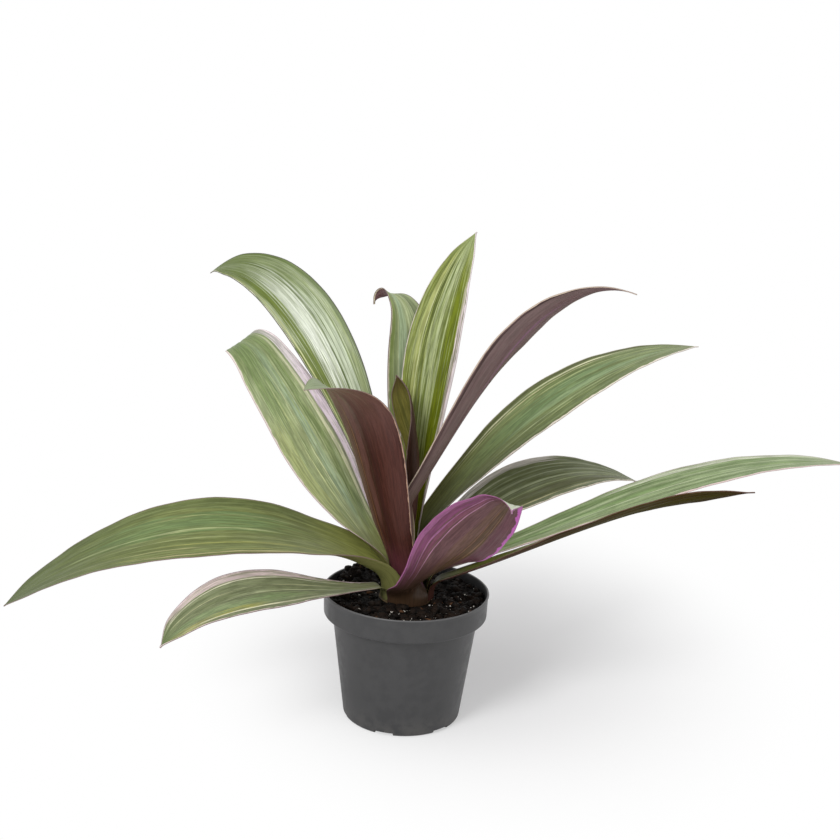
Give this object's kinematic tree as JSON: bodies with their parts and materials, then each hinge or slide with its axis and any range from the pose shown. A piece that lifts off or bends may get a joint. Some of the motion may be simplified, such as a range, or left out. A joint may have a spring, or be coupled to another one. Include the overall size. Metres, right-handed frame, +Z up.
{
  "type": "potted oyster plant",
  "caption": "Potted oyster plant: a rosette of striped strap leaves with dark undersides on a short stem, in a round nursery pot of potting soil.",
  "frame": {"origin": "middle of the pot's flat bottom", "axes": "+Z up along the pot's axis, +X towards the long low leaf on the plant's right, -Y towards its front"},
  "size_m": [0.5904, 0.2418, 0.3508],
  "materials": {
    "pot_plastic": "satin",
    "potting_soil": "matte",
    "stem": "matte",
    "leaf_green": "satin",
    "leaf_pale": "satin",
    "leaf_maroon": "satin",
    "leaf_mauve": "satin"
  },
  "bodies": {
    "root": {"nursery_pot": "pot_plastic", "potting_soil": "potting_soil", "stem": "stem", "leaf_left_long": "leaf_green", "leaf_left_low": "leaf_green", "leaf_left_broad": "leaf_green", "leaf_left_upper": "leaf_pale", "leaf_back_hooked": "leaf_green", "leaf_centre_tall": "leaf_pale", "leaf_heart_young": "leaf_maroon", "leaf_front_broad": "leaf_maroon", "leaf_right_upper": "leaf_mauve", "leaf_right_arching": "leaf_green", "leaf_right_short": "leaf_green", "leaf_right_long": "leaf_green", "leaf_right_low": "leaf_maroon", "leaf_front_twisted": "leaf_mauve"}
  },
  "joints": []
}
